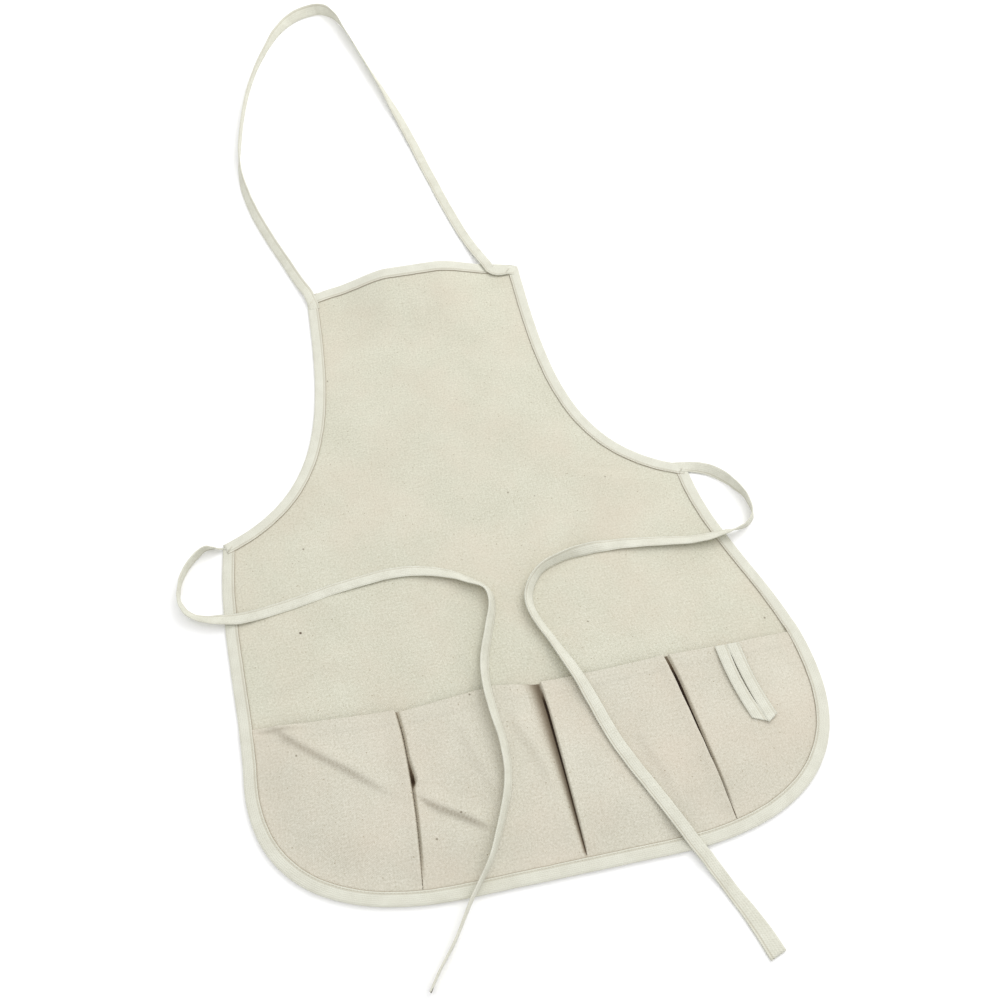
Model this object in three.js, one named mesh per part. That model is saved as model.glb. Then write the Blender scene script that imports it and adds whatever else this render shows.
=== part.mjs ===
// Bib apron in natural cotton canvas, bound with twill tape, with a pleated pocket strip, a neck strap,
// two waist ties and a utility loop. Millimetres. The apron lies face up on z = 0, +Y towards the bib, +X to the right.
import * as THREE from "three";
import { mergeVertices } from "three/addons/utils/BufferGeometryUtils.js";

// Driving dimensions of the cut cloth
const bibHalf = 112;          // half the bib's width at its top edge
const waistHalf = 215;        // half the width at the waist corners
const skirtHalf = 239;        // half the width at the widest part of the skirt
const hemHalf = 80;           // half of the hem's straight run between the round corners
const topY = 297, waistY = 24, hemY = -311;
const mouthY = -157;          // pocket mouth
const axisX = -23.7;           // the bib's centre line
const layShift = 27;          // how far the skirt lies to the right of the bib's centre line
const tape = 11;              // width of the binding tape
const tapeT = 0.6;            // thickness of one layer of tape
const clothT = 0.7;           // thickness of the canvas
const gap = 0.25;             // air between two layers
const ribbonW = 10.4;         // width of the folded and stitched tape of the straps
const ribbonT = 1.2;
const topLift = 14;           // how far the slack bib edge stands up from the floor
const topBulge = 12;          // and how far it bows outwards in plan
const crown = 4.8;            // how far each pocket is puffed up
const dividerX = [-111, 8, 118];  // dividers at the pocket mouth, from the centre line
const dividerHemX = [-111, 14, 136];  // and at the hem

const clothZ = tapeT + gap;                     // underside of the body panel
const pocketZ = clothZ + clothT + gap;          // underside of the pocket strip
const thin = clothZ + clothT + gap + tapeT;     // height of a binding on one layer of canvas
const thick = pocketZ + clothT + gap + tapeT;   // height of a binding on two layers

const group = new THREE.Group();
const smooth = (t) => { const u = Math.min(1, Math.max(0, t)); return u * u * (3 - 2 * u); };
const lerp = (a, b, t) => a + (b - a) * t;

const canvas = new THREE.MeshStandardMaterial({ color: 0xded9c8, roughness: 0.95, metalness: 0 });
const twill = new THREE.MeshStandardMaterial({ color: 0xe6e7dc, roughness: 0.9, metalness: 0 });
const cotton = new THREE.MeshStandardMaterial({ color: 0xd8d6c4, roughness: 0.8, metalness: 0 });

// Moves every vertex of a plain geometry to its place in the cloth and adds it as one named piece
function shaped(name, plain, material, move) {
  plain.deleteAttribute("normal");
  plain.deleteAttribute("uv");
  plain.clearGroups();
  const g = mergeVertices(plain, 1e-4), p = g.attributes.position, v = new THREE.Vector3();
  for (let i = 0; i < p.count; i++) p.setXYZ(i, ...move(v.fromBufferAttribute(p, i)));
  // a mirrored piece gets its faces turned the right way round again
  const idx = g.index.array, a = new THREE.Vector3(), b = new THREE.Vector3(), c = new THREE.Vector3();
  let volume = 0;
  for (let i = 0; i < idx.length; i += 3) {
    a.fromBufferAttribute(p, idx[i]); b.fromBufferAttribute(p, idx[i + 1]); c.fromBufferAttribute(p, idx[i + 2]);
    volume += a.dot(b.cross(c));
  }
  if (volume < 0) for (let i = 0; i < idx.length; i += 3) [idx[i], idx[i + 1]] = [idx[i + 1], idx[i]];
  const mesh = new THREE.Mesh(g, material);
  mesh.name = name;
  group.add(mesh);
}

// Where the cloth lies: the skirt is pushed to the right, and the slack top edge of the bib stands up and bows out
const layX = (y) => axisX + layShift * smooth((3 - y) / 190);
const topArch = (x, y) => {
  const s = Math.min(1, Math.abs(x / bibHalf));
  return smooth((0.74 - s) * 1.9) * smooth((y - (topY - 95)) / 95);
};
// the edge bows out steeply at both corners and runs nearly straight between them
const topBow = (x, y) => (1 - Math.pow(Math.min(1, Math.abs(x / bibHalf)), 5)) * smooth((y - (topY - 110)) / 110);
const place = (x, y, z) => [x + layX(y), y + topBulge * topBow(x, y), z + topLift * topArch(x, y)];

// Half of the outline, from the bib corner round the armhole, the side and the round corner to the hem
const bez = (p, t) => {
  const u = 1 - t, w = [u * u * u, 3 * u * u * t, 3 * u * t * t, t * t * t];
  return [0, 1].map((k) => w[0] * p[0][k] + w[1] * p[1][k] + w[2] * p[2][k] + w[3] * p[3][k]);
};
const armDepth = topY - waistY;
const armCurve = [[bibHalf, topY], [bibHalf, topY - 0.54 * armDepth], [bibHalf + 6, topY - 0.87 * armDepth], [waistHalf, waistY]];
const sideCurve = [[waistHalf, waistY], [waistHalf + 7, waistY - 91], [skirtHalf, hemY + 196], [skirtHalf, hemY + 114]];
const turnCurve = [[skirtHalf, hemY + 114], [skirtHalf - 1, hemY + 42], [hemHalf + 105, hemY], [hemHalf, hemY]];
const sample = (p, n) => Array.from({ length: n + 1 }, (_, i) => bez(p, i / n));
const armLine = sample(armCurve, 26);
const skirtLine = [...sample(sideCurve, 16), ...sample(turnCurve, 14).slice(1), [hemHalf / 2, hemY], [0, hemY]];

// Inward direction at each point of a half outline
function inward(line, i) {
  const a = line[Math.max(0, i - 1)], b = line[Math.min(line.length - 1, i + 1)];
  const l = Math.hypot(b[0] - a[0], b[1] - a[1]);
  return [(b[1] - a[1]) / l, -(b[0] - a[0]) / l];
}
// The outline moved inwards by d, and its half width at height y
const outline = [...armLine, ...skirtLine.slice(1)];
const insetLines = new Map();
function insetLine(d) {
  if (!insetLines.has(d)) insetLines.set(d, outline.map((p, i) => {
    const n = inward(outline, i);
    return [p[0] + n[0] * d, p[1] + n[1] * d];
  }));
  return insetLines.get(d);
}
function halfWidth(y, d) {
  const pts = insetLine(d);
  let best = pts[0][0];
  if (y >= pts[0][1]) return best;
  for (let i = 1; i < pts.length; i++) {
    const [x0, y0] = pts[i - 1], [x1, y1] = pts[i];
    if (y <= y0 && y >= y1 && y0 > y1) return lerp(x0, x1, (y0 - y) / (y0 - y1));
    if (y1 >= y - 0.01) best = x1;
  }
  return best;
}
// Distance from a point of the cloth to its nearest edge, negative outside the cloth
function fromEdge(x, y) {
  const ax = Math.abs(x);
  let d = topY - y;
  for (let i = 1; i < outline.length; i++) {
    const [x0, y0] = outline[i - 1], [x1, y1] = outline[i], ex = x1 - x0, ey = y1 - y0;
    const t = Math.min(1, Math.max(0, ((ax - x0) * ex + (y - y0) * ey) / (ex * ex + ey * ey)));
    d = Math.min(d, Math.hypot(ax - x0 - t * ex, y - y0 - t * ey));
  }
  return y > topY || y < hemY || ax > halfWidth(y, 0) ? -Math.abs(d) : d;
}

// A closed sheet over a grid: columns from side to side, rows from the hem upwards, between a lower and an upper surface
function sheet(name, ys, xs, inset, low, high, lay = place) {
  const nx = xs.length - 1, ny = ys.length - 1;
  const widths = ys.map((y) => halfWidth(y, inset));
  shaped(name, new THREE.BoxGeometry(nx, ny, 1, nx, ny, 1), canvas, (v) => {
    const i = Math.round(v.x + nx / 2), j = Math.round(v.y + ny / 2);
    const x = widths[j] * xs[i], y = ys[j];
    return lay(x, y, (v.z > 0 ? high : low)(x, y));
  });
}
const steps = (a, b, n) => Array.from({ length: n + 1 }, (_, i) => lerp(a, b, i / n));

// Body panel: one layer of canvas inside the bindings
const edge = tapeT + gap + 0.6;
sheet("body_panel", steps(hemY + edge, topY - edge, 48), steps(-1, 1, 26), edge,
  () => clothZ, () => clothZ + clothT);

// Pocket strip: puffed between the dividers, flat where it is sewn down at each divider, with a folded hem at the mouth
const dividerAt = (k, y) => {
  const x = lerp(dividerX[k], dividerHemX[k], (mouthY - y) / (mouthY - hemY)), most = 0.82 * halfWidth(y, edge);
  return Math.max(-most, Math.min(most, x));
};
const puff = (x, y) => {
  const apart = Math.min(...dividerX.map((_, k) => Math.abs(x - dividerAt(k, y))));
  return crown * smooth((fromEdge(x, y) - tape - 5) / 20) * smooth((apart - 3.5) / 15);
};
const hemFold = 11;
const hemBand = (x, y) => (y > mouthY - hemFold && fromEdge(x, y) > tape + 3 ? tapeT : 0);
{
  // columns: [stop at the left, stop at the right, share of the way, millimetres from the left or right stop]
  const cols = [], seat = tape - edge;
  for (let k = 0; k < 4; k++) {
    const head = k ? [3.4, 8, 13] : [0, seat, seat + 5], tail = k < 3 ? [-13, -8, -3.4] : [-seat - 5, -seat, 0];
    cols.push(...head.map((d) => [k, 0, d]), ...[0.28, 0.42, 0.58, 0.72].map((f) => [k, f, 0]), ...tail.map((d) => [k, 1, d]));
  }
  const stop = (k, y) => (k === 0 ? -halfWidth(y, edge) : k === 4 ? halfWidth(y, edge) : dividerAt(k - 1, y));
  const ys = [hemY + edge, ...steps(hemY + tape, hemY + tape + 60, 9), ...steps(hemY + tape + 72, mouthY - hemFold - 0.6, 5), mouthY - hemFold + 0.4, mouthY];
  const nx = cols.length - 1, ny = ys.length - 1;
  shaped("pocket_panel", new THREE.BoxGeometry(nx, ny, 1, nx, ny, 1), canvas, (v) => {
    const [k, f, d] = cols[Math.round(v.x + nx / 2)], y = ys[Math.round(v.y + ny / 2)];
    const a = stop(k, y), b = stop(k + 1, y), fit = Math.min(1, (b - a) / 60);
    const x = lerp(a, b, f) + d * fit;
    return place(x, y, pocketZ + puff(x, y) + (v.z > 0 ? clothT + hemBand(x, y) : 0));
  });
}

// The highest surface of the sewn apron under a point of the floor plan
function surface(px, y) {
  const x = px - layX(y);
  let flat = y;
  for (let k = 0; k < 3; k++) flat = y - topBulge * topBow(x, Math.min(topY, flat));
  y = flat;
  const d = fromEdge(x, y);
  if (d < -1) return 0;
  const two = y < mouthY + 16, base = d < tape + 1 ? (two ? thick : thin) : clothZ + clothT;
  const strip = y <= mouthY + 1 ? pocketZ + clothT + hemBand(x, y) + puff(x, y) : 0;
  return Math.max(base, strip) + topLift * topArch(x, y);
}

// Binding: tape folded over the edge, a U in section, swept along part of the outline
function binding(name, line, height, mirror) {
  const n = line.length - 1, m = mirror ? -1 : 1, section = new THREE.Shape();
  // the section's heights are 0 to 3: floor side, top of the lower leg, underside of the upper leg, top
  [[0, 0], [tape, 0], [tape, 1], [tapeT, 1], [tapeT, 2], [tape, 2], [tape, 3], [0, 3]].forEach(([x, y], k) => (k ? section.lineTo(x, y) : section.moveTo(x, y)));
  section.closePath();
  shaped(name, new THREE.ExtrudeGeometry(section, { depth: n, steps: n, bevelEnabled: false }), twill, (v) => {
    const i = Math.round(v.z), p = line[i], nn = inward(line, i), h = height(p[1]);
    return place(m * (p[0] + nn[0] * v.x), p[1] + nn[1] * v.x, [0, tapeT, h - tapeT, h][Math.round(v.y)]);
  });
}
const armRun = armLine;
binding("right_armhole_binding", armRun, () => thin, false);
binding("left_armhole_binding", armRun, () => thin, true);
const sideStart = waistY - tape - 1.2;
const sideRun = skirtLine.filter((p) => p[1] < sideStart - 1);
const startX = halfWidth(sideStart, 0);
const loopRun = [[startX, sideStart], ...sideRun, ...sideRun.slice(0, -1).reverse().map((p) => [-p[0], p[1]]), [-startX, sideStart]];
const skirtHeight = (y) => lerp(thin, thick, smooth((mouthY + 14 - y) / 10));
binding("skirt_binding", loopRun, skirtHeight, false);
const bibEnd = bibHalf - tape - 0.5;
const bibRun = steps(-bibEnd, bibEnd, 24).map((x) => [x, topY]);
binding("bib_binding", bibRun, () => thin, false);

// Flat ribbon bent along a route of [x, y, height of its lowest edge over what it lies on, roll]: roll 0 lies flat, 90 stands on edge
const over = 1.4;
function ribbon(name, route, w = ribbonW, t = ribbonT, per = 5) {
  const curve = new THREE.CatmullRomCurve3(route.map((r) => new THREE.Vector3(r[0], r[1], r[2])), false, "centripetal");
  const n = (route.length - 1) * per, up = new THREE.Vector3(0, 0, 1);
  const rows = steps(0, 1, n).map((u) => {
    const f = u * (route.length - 1), k = Math.min(route.length - 2, Math.floor(f)), p = curve.getPoint(u);
    const roll = THREE.MathUtils.degToRad(lerp(route[k][3], route[k + 1][3], smooth(f - k)));
    const reach = Math.max(2, (w / 2) * Math.abs(Math.cos(roll))) + 1.5;
    let ground = surface(p.x, p.y);
    for (let a = 0; a < 12; a++) ground = Math.max(ground, surface(p.x + reach * Math.cos((a * Math.PI) / 6), p.y + reach * Math.sin((a * Math.PI) / 6)));
    return { u, p, roll, ground };
  });
  // the ribbon bridges small steps: the highest ground near each row, then its mean
  const near = (i, r, list) => list.slice(Math.max(0, i - r), Math.min(n, i + r) + 1);
  const high = rows.map((_, i) => Math.max(...near(i, 2, rows).map((q) => q.ground)));
  const calm = high.map((_, i) => near(i, 2, high).reduce((a, b) => a + b, 0) / near(i, 2, high).length);
  rows.forEach((q, i) => { q.p.z += calm[i] + (w / 2) * Math.abs(Math.sin(q.roll)) + (t / 2) * Math.abs(Math.cos(q.roll)); });
  shaped(name, new THREE.BoxGeometry(w, n, t, 1, n, 1), twill, (v) => {
    const i = Math.round(v.y + n / 2), q = rows[i];
    const d = new THREE.Vector3().subVectors(rows[Math.min(n, i + 1)].p, rows[Math.max(0, i - 1)].p).normalize();
    if (i === 0 && route.startDir) d.fromArray(route.startDir);
    if (i === n && route.endDir) d.fromArray(route.endDir);
    const side = new THREE.Vector3().crossVectors(d, up).normalize(), nor = new THREE.Vector3().crossVectors(side, d).normalize();
    const across = side.clone().multiplyScalar(Math.cos(q.roll)).addScaledVector(nor, Math.sin(q.roll));
    const out = nor.clone().multiplyScalar(Math.cos(q.roll)).addScaledVector(side, -Math.sin(q.roll));
    return q.p.clone().addScaledVector(across, v.x).addScaledVector(out, v.z).toArray();
  });
  return rows;
}
const from = (ax, ay, route) => route.map(([x, y, z, r]) => [ax + x, ay + y, z, r]);

const waistLX = axisX - waistHalf, waistRX = axisX + waistHalf;
const bibLX = axisX - bibHalf, bibRX = axisX + bibHalf;

// Waist ties: each leaves its waist corner, stands on edge round a bend, folds back over the apron and runs off past the hem
const cut = 0.4;              // half the gap where a loose tape starts
const leftBendX = waistLX - 38, leftBendY = waistY - 36;
const rootL = from(waistLX, waistY, [[-1.5, -6, 0.4, 0], [-14, -4, 0.4, -35], [-26, -11, 0.4, -65], [-36, -24, 0.4, -88]]);
rootL.push([leftBendX, leftBendY + cut, 0.4, -90]);
rootL.endDir = [0, -1, 0];
ribbon("left_tie_root", rootL);
const tieL = [[leftBendX, leftBendY - cut, 0.4, -90], ...from(waistLX, waistY, [[-39, -47, 0.4, -88], [-34, -61, 0.4, -60], [-16, -72, 0.5, -20],
  [9, -76, over, 0], [42, -72, over, 0], [100, -62, over, 3], [151, -58, over, 5], [186, -66, over, 20], [206, -77, over, 40], [223, -90, over, 60],
  [225, -104, over, 58], [217, -129, over, 52], [209, -153, over, 48], [206, -175, over, 45], [207, -198, over, 42], [210, -226, over, 45],
  [208, -257, over, 50], [195, -290, over, 58], [183, -313, over, 62], [164, -337, over, 66], [147, -362, 0.3, 70], [132, -380, 0.3, 72], [124, -391, 0.3, 72]])];
tieL.startDir = [0, -1, 0];
ribbon("left_tie", tieL);

const rightBendX = waistRX + 44, rightBendY = waistY - 56;
const rootR = from(waistRX, waistY, [[2.5, -5, 0.4, 0], [12, -6.5, 0.4, 5], [25, -18, 0.4, 35], [39, -36, 0.4, 75]]);
rootR.push([rightBendX, rightBendY + cut, 0.4, 90]);
rootR.endDir = [0, -1, 0];
ribbon("right_tie_root", rootR);
const tieR = [[rightBendX, rightBendY - cut, 0.4, 90], ...from(waistRX, waistY, [[42, -67, 0.4, 88], [32, -76, 0.4, 65], [10, -80, 0.5, 20],
  [-23, -78, over, -12], [-53, -73, over, -15], [-87, -69, over, -5], [-112, -69, over, 30], [-136, -73, over, 60], [-157, -81, over, 62],
  [-168, -93, over, 52], [-173, -105, over, 46], [-172, -121, over, 42], [-161, -149, over, 38], [-150, -179, over, 22], [-141, -208, over, 5],
  [-130, -245, over, 0], [-113, -283, over, 0], [-97, -318, over, 0], [-88, -337, over, 0], [-78, -359, 0.6, 0], [-64, -390, 0.3, 0], [-54, -418, 0.3, 0]])];
tieR.startDir = [0, -1, 0];
ribbon("right_tie", tieR);

// Neck strap: its two sewn ends lie on the bib corners, and the loose part hinges up from the bib's top edge
const seat = 0.3;
ribbon("neck_strap_left_end", from(bibLX, topY, [[14.5, -13.6, seat, 0], [8, -6, seat, 0]]));
ribbon("neck_strap_right_end", from(bibRX, topY, [[-1.5, -7, seat, 0], [-12, -4.6, seat, 0], [-21, -6.4, seat, 0]]));
const strap = [...from(bibLX, topY, [[1, 5.4, 0.3, 0], [-5, 23, 0.8, 0], [-21, 66, 0.6, 0], [-38, 115, 0.4, 15], [-50, 162, 0.3, 50], [-53, 200, 0.3, 85],
  [-52, 237, 0.3, 90], [-39, 318, 0.3, 90], [-24, 370, 0.3, 80], [-9, 406, 0.3, 55], [7, 437, 0.3, 42], [27, 461, 0.3, 38], [50, 472, 0.3, 42], [69, 471, 0.3, 60]]),
  ...from(bibRX, topY, [[-141, 454, 0.3, 85], [-130, 420, 0.3, 90], [-113, 352, 0.3, 88], [-102, 310, 0.3, 75], [-85, 237, 0.3, 50], [-69, 153, 0.4, 24], [-53, 76, 0.6, 5], [-39, 26, 0.8, 0], [-32, 7.4, 0.5, 0]])];
ribbon("neck_strap", strap);

// Utility loop: folded tape turned back on itself to a mitred point, its root under the pocket hem
{
  const lx = axisX + layShift + 158.5, ly = mouthY - 0.5, w = 10, slit = 0.9, len = 53, lean = 9.6;
  const s = new THREE.Shape();
  const at = (x, y) => [lx + x - (lean * y) / len, ly + y];
  s.moveTo(...at(0, 0));
  s.lineTo(...at(0, -len - w));
  s.lineTo(...at(w * 1.2, -len - w * 1.75));
  s.lineTo(...at(2 * w + slit, -len - w * 1.2));
  s.lineTo(...at(2 * w + slit, 0));
  s.lineTo(...at(w + slit, 0));
  s.lineTo(...at(w + slit, -len));
  s.lineTo(...at(w, -len));
  s.lineTo(...at(w, 0));
  s.closePath();
  const lift = pocketZ + clothT + tapeT + crown + 1.3;
  shaped("utility_loop", new THREE.ExtrudeGeometry(s, { depth: ribbonT, bevelEnabled: false }), twill, (v) => [v.x, v.y, v.z + lift]);
}

// Sewing thread, each row one continuous strand lying just above what it holds
function thread(name, pts, lift = 0.3, w = 0.6) {
  const n = pts.length - 1;
  shaped(name, new THREE.BoxGeometry(w, n, 0.3, 1, n, 1), cotton, (v) => {
    const i = Math.round(v.y + n / 2), p = pts[i], a = pts[Math.max(0, i - 1)], b = pts[Math.min(n, i + 1)];
    const l = Math.hypot(b[0] - a[0], b[1] - a[1]);
    return [p[0] + (v.x * (b[1] - a[1])) / l, p[1] - (v.x * (b[0] - a[0])) / l, p[2] + lift + 0.15 + v.z];
  });
}
const seam = (line, d, h, m = 1) => line.map((p, i) => {
  const nn = inward(line, i);
  return place(m * (p[0] + nn[0] * d), p[1] + nn[1] * d, h(p[1]));
});
const stitchIn = tape - 1.6;
thread("bib_binding_thread", seam(bibRun.slice(3, -4), stitchIn, () => thin));
const armSeam = armRun.slice(2, -1);
thread("right_armhole_thread", seam(armSeam, stitchIn, () => thin));
thread("left_armhole_thread", seam(armSeam, stitchIn, () => thin, -1));
thread("skirt_binding_thread", seam(loopRun, stitchIn, skirtHeight));
const strip = (x, y) => place(x, y, pocketZ + clothT + hemBand(x, y) + puff(x, y));
const mouthSpan = halfWidth(mouthY, tape) - 10;
thread("pocket_hem_thread", steps(-mouthSpan, mouthSpan, 150).map((x) => strip(x, mouthY - hemFold + 2)), 0.8, 0.4);
for (let k = 0; k < 3; k++)
  thread(`divider_thread_${k + 1}`, steps(mouthY - 14, hemY + tape + 6, 8).map((y) => place(dividerAt(k, y), y, pocketZ + clothT)), 0.3);
const tack = (name, x, y, z, s = 3.2) => thread(name, [[x - s, y - s, z], [x + s, y + s, z]]);
const onStrap = thin + seat + ribbonT;
tack("left_strap_tack", bibLX + 11.2, topY - 9.8, onStrap);
tack("right_strap_tack", bibRX - 12, topY - 7, onStrap);
tack("left_waist_tack", waistLX + 6, waistY - 5.5, thin);
tack("right_waist_tack", waistRX - 6, waistY - 5.5, thin);

export default group;
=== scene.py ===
# A bib apron of natural cotton canvas, bound with cotton twill tape, lying face up on a pale floor.
# Lengths in the sections are millimetres; mesh_piece turns them to metres.
import math

import bpy
import numpy as np
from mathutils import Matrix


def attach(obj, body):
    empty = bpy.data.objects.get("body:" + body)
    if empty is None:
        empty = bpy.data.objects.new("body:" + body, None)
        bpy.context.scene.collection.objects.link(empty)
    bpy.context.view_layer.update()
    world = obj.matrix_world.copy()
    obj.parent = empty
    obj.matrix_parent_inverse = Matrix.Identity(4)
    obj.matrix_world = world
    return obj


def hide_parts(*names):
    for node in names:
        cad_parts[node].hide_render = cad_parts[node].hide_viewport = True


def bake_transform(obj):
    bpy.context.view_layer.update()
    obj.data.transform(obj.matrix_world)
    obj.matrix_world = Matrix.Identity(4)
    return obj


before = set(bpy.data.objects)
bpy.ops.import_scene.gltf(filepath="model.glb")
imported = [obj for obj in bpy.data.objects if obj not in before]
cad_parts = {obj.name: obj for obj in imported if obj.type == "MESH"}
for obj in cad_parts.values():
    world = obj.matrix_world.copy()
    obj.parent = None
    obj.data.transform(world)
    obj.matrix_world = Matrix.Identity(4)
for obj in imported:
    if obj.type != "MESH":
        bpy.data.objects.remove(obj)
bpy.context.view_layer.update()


# Camera, floor and light. The apron is seen from above its hem, a little to its left,
# on a white sheet of paper, under a large soft box to its upper right and a weaker light overhead.
camera = bpy.data.objects.new("camera", bpy.data.cameras.new("camera"))
bpy.context.collection.objects.link(camera)
camera.location = (-0.0768, -0.4278, 0.7978)
camera.rotation_euler = (math.radians(90 - 60.1), 0, math.radians(-11.4))
camera.data.lens, camera.data.sensor_width = 36, 36
camera.data.clip_start, camera.data.clip_end = 0.01, 20
bpy.context.scene.camera = camera
# plain sRGB, so that white cloth and paper keep their own colours
bpy.context.scene.view_settings.view_transform = "Standard"


def linear(hex_colour):
    """An sRGB hex colour as linear RGBA."""
    parts = [int(hex_colour[i : i + 2], 16) / 255 for i in (1, 3, 5)]
    return [c / 12.92 if c <= 0.04045 else ((c + 0.055) / 1.055) ** 2.4 for c in parts] + [1]


def add_node(tree, kind, inputs=(), **settings):
    """One node with its settings. Each input is a socket to link from, or a value."""
    node = tree.nodes.new(kind)
    for key, value in settings.items():
        setattr(node, key, value)
    for key, value in dict(inputs).items():
        if isinstance(value, bpy.types.NodeSocket):
            tree.links.new(value, node.inputs[key])
        else:
            node.inputs[key].default_value = value
    return node


def new_material(name):
    """An empty material with its output node."""
    material = bpy.data.materials.new(name)
    material.use_nodes = True
    material.node_tree.nodes.clear()
    return material, material.node_tree


# matt white paper: no gloss, a faint fibre mottle
paper, tree = new_material("white_paper")
fibre = add_node(tree, "ShaderNodeTexNoise", {"Scale": 400.0, "Detail": 3.0})
tone = add_node(tree, "ShaderNodeMix", {"Factor": fibre.outputs["Fac"], "A": linear("#fdfdfd"),
    "B": linear("#ffffff")}, data_type="RGBA")
shader = add_node(tree, "ShaderNodeBsdfPrincipled", {"Base Color": tone.outputs["Result"], "Roughness": 0.9})
add_node(tree, "ShaderNodeOutputMaterial", {"Surface": shader.outputs[0]})
bpy.ops.mesh.primitive_plane_add(size=14, location=(0, 0, -0.0002))
floor = bpy.context.object
floor.name = "paper_floor"
floor.data.materials.append(paper)

world = bpy.data.worlds.new("studio")
bpy.context.scene.world = world
world.use_nodes = True
world.node_tree.nodes["Background"].inputs["Color"].default_value = (1, 1, 1, 1)
world.node_tree.nodes["Background"].inputs["Strength"].default_value = 0.83


def soft_light(name, place, size, watts):
    """A square light, size metres wide, turned towards the middle of the apron."""
    light = bpy.data.objects.new(name, bpy.data.lights.new(name, "AREA"))
    bpy.context.collection.objects.link(light)
    light.data.size, light.data.energy = size, watts
    light.location = place
    aim = -np.array(place, float)
    light.rotation_euler = (math.atan2(math.hypot(aim[0], aim[1]), -aim[2]), 0,
        math.atan2(aim[0], -aim[1]) + math.pi)
    return light


soft_light("softbox", (1.3, 1.3, 1.7), 1.5, 24)
soft_light("overhead", (0.3, 0.2, 2.4), 2.4, 11)


# The cut of the cloth: half of the outline runs from the bib corner round the armhole, down the side
# and round the corner of the skirt to the hem. The skirt lies 27 mm to the right of the bib, and the
# slack top edge of the bib bows out 12 mm and stands up 14 mm between the two ends of the neck strap.
BIB, WAIST, SKIRT, HEM = 112.0, 215.0, 239.0, 80.0
TOP_Y, WAIST_Y, HEM_Y, MOUTH_Y = 297.0, 24.0, -311.0, -157.0
AXIS_X, LAY = -23.7, 27.0
TOP_BOW, TOP_LIFT = 12, 14
TAPE, TAPE_T, CLOTH_T, AIR = 11.0, 0.6, 0.7, 0.25
CLOTH_Z = TAPE_T + AIR
POCKET_Z = CLOTH_Z + CLOTH_T + AIR
THIN, THICK = CLOTH_Z + CLOTH_T + AIR + TAPE_T, POCKET_Z + CLOTH_T + AIR + TAPE_T
EDGE = TAPE_T + AIR + 0.6


def smooth(t):
    t = np.clip(t, 0, 1)
    return t * t * (3 - 2 * t)


def bezier(points, n):
    t = np.linspace(0, 1, n + 1)[:, None]
    a, b, c, d = (np.array(p, float) for p in points)
    return (1 - t) ** 3 * a + 3 * (1 - t) ** 2 * t * b + 3 * (1 - t) * t * t * c + t**3 * d


DEPTH = TOP_Y - WAIST_Y
arm_line = bezier([(BIB, TOP_Y), (BIB, TOP_Y - 0.54 * DEPTH), (BIB + 6, TOP_Y - 0.87 * DEPTH),
    (WAIST, WAIST_Y)], 90)
skirt_line = np.vstack([
    bezier([(WAIST, WAIST_Y), (WAIST + 7, WAIST_Y - 91), (SKIRT, HEM_Y + 196), (SKIRT, HEM_Y + 114)], 70),
    bezier([(SKIRT, HEM_Y + 114), (SKIRT - 1, HEM_Y + 42), (HEM + 105, HEM_Y), (HEM, HEM_Y)], 60)[1:],
    [(x, HEM_Y) for x in np.linspace(HEM, 0, 28)[1:]],
])
outline = np.vstack([arm_line, skirt_line[1:]])


def inward(line):
    """The direction into the cloth at each point of a half outline."""
    step = np.vstack([line[1] - line[0], line[2:] - line[:-2], line[-1] - line[-2]])
    step /= np.linalg.norm(step, axis=1)[:, None]
    return np.c_[step[:, 1], -step[:, 0]]


def half_width(y, inset=0.0):
    line = (outline + inward(outline) * inset)[: -27]
    ys = np.maximum.accumulate(line[::-1, 1])
    return np.interp(y, ys, line[::-1, 0])


def from_edge(x, y):
    """Distance to the nearest edge of the cut cloth, negative outside it."""
    x, y = np.abs(np.asarray(x, float)), np.asarray(y, float)
    shape = np.broadcast(x, y).shape
    p = np.stack([np.broadcast_to(x, shape).ravel(), np.broadcast_to(y, shape).ravel()], 1)
    best = np.abs(TOP_Y - p[:, 1])
    coarse = outline[::3]
    for a, b in zip(coarse[:-1], coarse[1:]):
        e = b - a
        t = np.clip(((p - a) @ e) / (e @ e), 0, 1)
        best = np.minimum(best, np.linalg.norm(p - a - t[:, None] * e, axis=1))
    best = np.minimum(best, np.linalg.norm(p - np.array([np.minimum(p[:, 0], HEM),
        np.full(len(p), HEM_Y)]).T, axis=1))
    out = (p[:, 1] > TOP_Y) | (p[:, 1] < HEM_Y) | (p[:, 0] > half_width(p[:, 1]))
    return np.where(out, -best, best).reshape(shape)


def lay_x(y):
    """Where the middle of the cloth lies at each height: the bib's line, easing over to the skirt's."""
    return AXIS_X + LAY * smooth((3 - np.asarray(y, float)) / 190)


def top_arch(x, y):
    """How far the slack top edge stands up, from 0 to 1."""
    s = np.minimum(1, np.abs(np.asarray(x, float)) / BIB)
    return smooth((0.74 - s) * 1.9) * smooth((np.asarray(y, float) - (TOP_Y - 95)) / 95)


def top_bow(x, y):
    """How far the slack top edge bows out, from 0 to 1."""
    s = np.minimum(1, np.abs(np.asarray(x, float)) / BIB)
    return (1 - s**5) * smooth((np.asarray(y, float) - (TOP_Y - 110)) / 110)


def place(x, y, z):
    """A point of the flat cloth where it lies, in millimetres."""
    return np.stack(np.broadcast_arrays(x + lay_x(y), y + TOP_BOW * top_bow(x, y),
        z + TOP_LIFT * top_arch(x, y)), -1)


# dividers between the pockets, at the mouth and at the hem, from the bib's centre line
DIVIDERS = [(-111.0, -111.0), (8.0, 14.0), (118.0, 136.0)]
CROWN = 4.2


def divider_x(k, y):
    top, low = DIVIDERS[k]
    most = 0.82 * half_width(y, EDGE)
    return np.clip(top + (low - top) * (MOUTH_Y - y) / (MOUTH_Y - HEM_Y), -most, most)


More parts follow.
